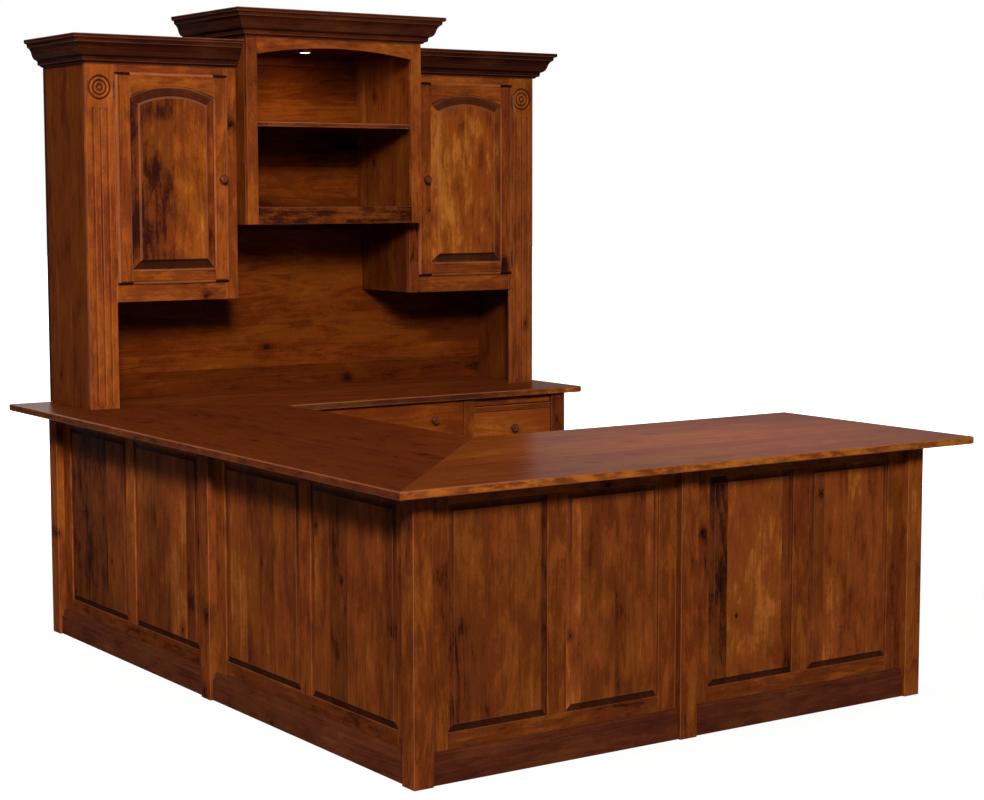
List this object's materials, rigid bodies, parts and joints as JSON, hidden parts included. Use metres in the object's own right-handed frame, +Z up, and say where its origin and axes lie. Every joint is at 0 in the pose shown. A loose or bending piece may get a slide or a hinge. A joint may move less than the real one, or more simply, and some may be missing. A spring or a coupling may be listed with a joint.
{
  "type": "u-shaped desk with hutch",
  "caption": "U-shaped executive desk with raised-panel outer walls, drawer pedestals, a writing board and a hutch with arched doors on its back run.",
  "frame": {"origin": "on the floor, under the middle of the whole desk's box", "axes": "+Z up; -Y is the visitor's side, where the long panelled front run stands; +Y is the back, against a wall; +X is the open end of the U"},
  "size_m": [2.0154, 2.535, 2.1263],
  "materials": {
    "top_wood": "glossy red-brown lacquered cherry",
    "frame_wood": "satin-gloss red-brown lacquered cherry",
    "panel_wood": "satin-gloss red-brown lacquered cherry with knots",
    "inside_wood": "satin stained cherry",
    "knob_wood": "glossy dark turned wood",
    "hinge_bronze": "dark bronze",
    "light_lens": "frosted lens"
  },
  "bodies": {
    "desk": {"front_top": "top_wood", "left_top": "top_wood", "credenza_top": "top_wood", "front_left_post": "frame_wood", "front_right_post": "frame_wood", "back_left_post": "frame_wood", "front_middle_post": "frame_wood", "left_middle_post": "frame_wood", "front_frame": "frame_wood", "left_frame": "frame_wood", "front_panel_1": "panel_wood", "front_panel_2": "panel_wood", "front_panel_3": "panel_wood", "front_panel_4": "panel_wood", "left_panel_1": "panel_wood", "left_panel_2": "panel_wood", "left_panel_3": "panel_wood", "left_panel_4": "panel_wood", "front_baseboard": "frame_wood", "left_baseboard": "frame_wood", "front_case": "frame_wood", "front_case_end": "frame_wood", "credenza_case": "frame_wood", "credenza_end": "frame_wood", "left_face_frame": "frame_wood", "left_wing_case": "inside_wood", "left_crown": "frame_wood", "left_lower_hinge": "hinge_bronze", "left_upper_hinge": "hinge_bronze", "right_face_frame": "frame_wood", "right_wing_case": "inside_wood", "right_crown": "frame_wood", "right_lower_hinge": "hinge_bronze", "right_upper_hinge": "hinge_bronze", "centre_face_frame": "frame_wood", "centre_case": "inside_wood", "centre_shelf": "frame_wood", "puck_light": "light_lens", "centre_crown": "frame_wood", "hutch_back": "inside_wood"},
    "left_door": {"left_door_frame": "frame_wood", "left_door_panel": "panel_wood", "left_door_knob": "knob_wood"},
    "right_door": {"right_door_frame": "frame_wood", "right_door_panel": "panel_wood", "right_door_knob": "knob_wood"},
    "front_lower_drawer_box": {"front_lower_drawer": "panel_wood", "front_lower_drawer_knob": "knob_wood"},
    "front_upper_drawer_box": {"front_upper_drawer": "panel_wood", "front_upper_drawer_knob": "knob_wood"},
    "credenza_first_drawer_box": {"credenza_first_drawer": "panel_wood", "credenza_first_drawer_knob": "knob_wood"},
    "credenza_second_drawer_box": {"credenza_second_drawer": "panel_wood", "credenza_second_drawer_knob": "knob_wood"},
    "credenza_file_drawer_box": {"credenza_file_drawer": "panel_wood", "credenza_file_drawer_knob": "knob_wood"},
    "credenza_wide_drawer_box": {"credenza_wide_drawer": "panel_wood", "credenza_wide_drawer_knob_1": "knob_wood", "credenza_wide_drawer_knob_2": "knob_wood"},
    "writing_board_slide": {"writing_board": "frame_wood"}
  },
  "joints": [
    {"name": "left_door_hinge", "type": "hinge", "parent": "desk", "child": "left_door", "pos_m": [-0.76165, 0.90345, 1.5533], "axis": [0, 0, -1], "range_deg": [0, 110]},
    {"name": "right_door_hinge", "type": "hinge", "parent": "desk", "child": "right_door", "pos_m": [0.84435, 0.90345, 1.5533], "axis": [0, 0, 1], "range_deg": [0, 110]},
    {"name": "front_lower_drawer_slide", "type": "slide", "parent": "desk", "child": "front_lower_drawer_box", "axis": [0, 1, 0], "range_m": [0, 0.5]},
    {"name": "front_upper_drawer_slide", "type": "slide", "parent": "desk", "child": "front_upper_drawer_box", "axis": [0, 1, 0], "range_m": [0, 0.5]},
    {"name": "credenza_first_drawer_slide", "type": "slide", "parent": "desk", "child": "credenza_first_drawer_box", "axis": [0, -1, 0], "range_m": [0, 0.34]},
    {"name": "credenza_second_drawer_slide", "type": "slide", "parent": "desk", "child": "credenza_second_drawer_box", "axis": [0, -1, 0], "range_m": [0, 0.34]},
    {"name": "credenza_file_drawer_slide", "type": "slide", "parent": "desk", "child": "credenza_file_drawer_box", "axis": [0, -1, 0], "range_m": [0, 0.34]},
    {"name": "credenza_wide_drawer_slide", "type": "slide", "parent": "desk", "child": "credenza_wide_drawer_box", "axis": [0, -1, 0], "range_m": [0, 0.34]},
    {"name": "writing_board_slide_out", "type": "slide", "parent": "desk", "child": "writing_board_slide", "axis": [0, -1, 0], "range_m": [0, 0.3]}
  ]
}
